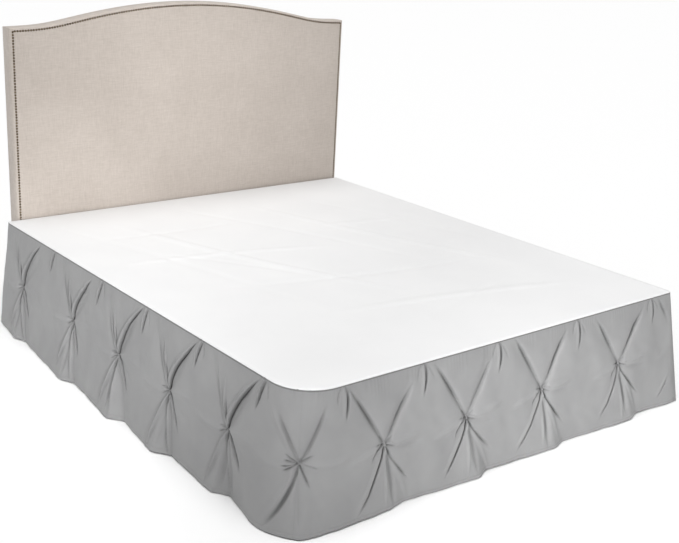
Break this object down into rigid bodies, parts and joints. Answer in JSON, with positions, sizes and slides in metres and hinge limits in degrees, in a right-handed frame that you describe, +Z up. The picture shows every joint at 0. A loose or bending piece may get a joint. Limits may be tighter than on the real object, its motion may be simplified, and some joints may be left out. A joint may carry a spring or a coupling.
{
  "type": "pinch-pleated bed skirt on its bed base with a headboard",
  "caption": "Grey bed skirt with pinched diamond pleats hanging from a white deck cloth, on its box spring and steel frame with an arched upholstered headboard.",
  "frame": {"origin": "on the floor under the middle of the bed base, at the foot of the frame's middle leg", "axes": "+Z up, +Y towards the headboard, +X to the bed's right as seen from its foot"},
  "size_m": [2.0517, 2.3089, 1.3882],
  "materials": {
    "skirt_cloth": "plain brushed microfibre, matt",
    "deck_cloth": "plain white cotton, matt",
    "spring_cover": "plain ticking, matt",
    "frame_steel": "satin black powder coat",
    "headboard_linen": "slubbed linen weave, matt",
    "post_wood": "stained and oiled"
  },
  "bodies": {
    "root": {"deck_panel": "deck_cloth", "drop_left": "skirt_cloth", "drop_foot": "skirt_cloth", "drop_right": "skirt_cloth", "box_spring": "spring_cover", "rail_left": "frame_steel", "rail_right": "frame_steel", "cross_head": "frame_steel", "cross_middle": "frame_steel", "cross_foot": "frame_steel", "leg_head_left": "frame_steel", "leg_head_centre": "frame_steel", "leg_head_right": "frame_steel", "leg_middle_left": "frame_steel", "leg_middle_centre": "frame_steel", "leg_middle_right": "frame_steel", "leg_foot_left": "frame_steel", "leg_foot_centre": "frame_steel", "leg_foot_right": "frame_steel", "bracket_left": "frame_steel", "bracket_right": "frame_steel", "headboard": "headboard_linen", "post_left": "post_wood", "post_right": "post_wood"}
  },
  "joints": []
}
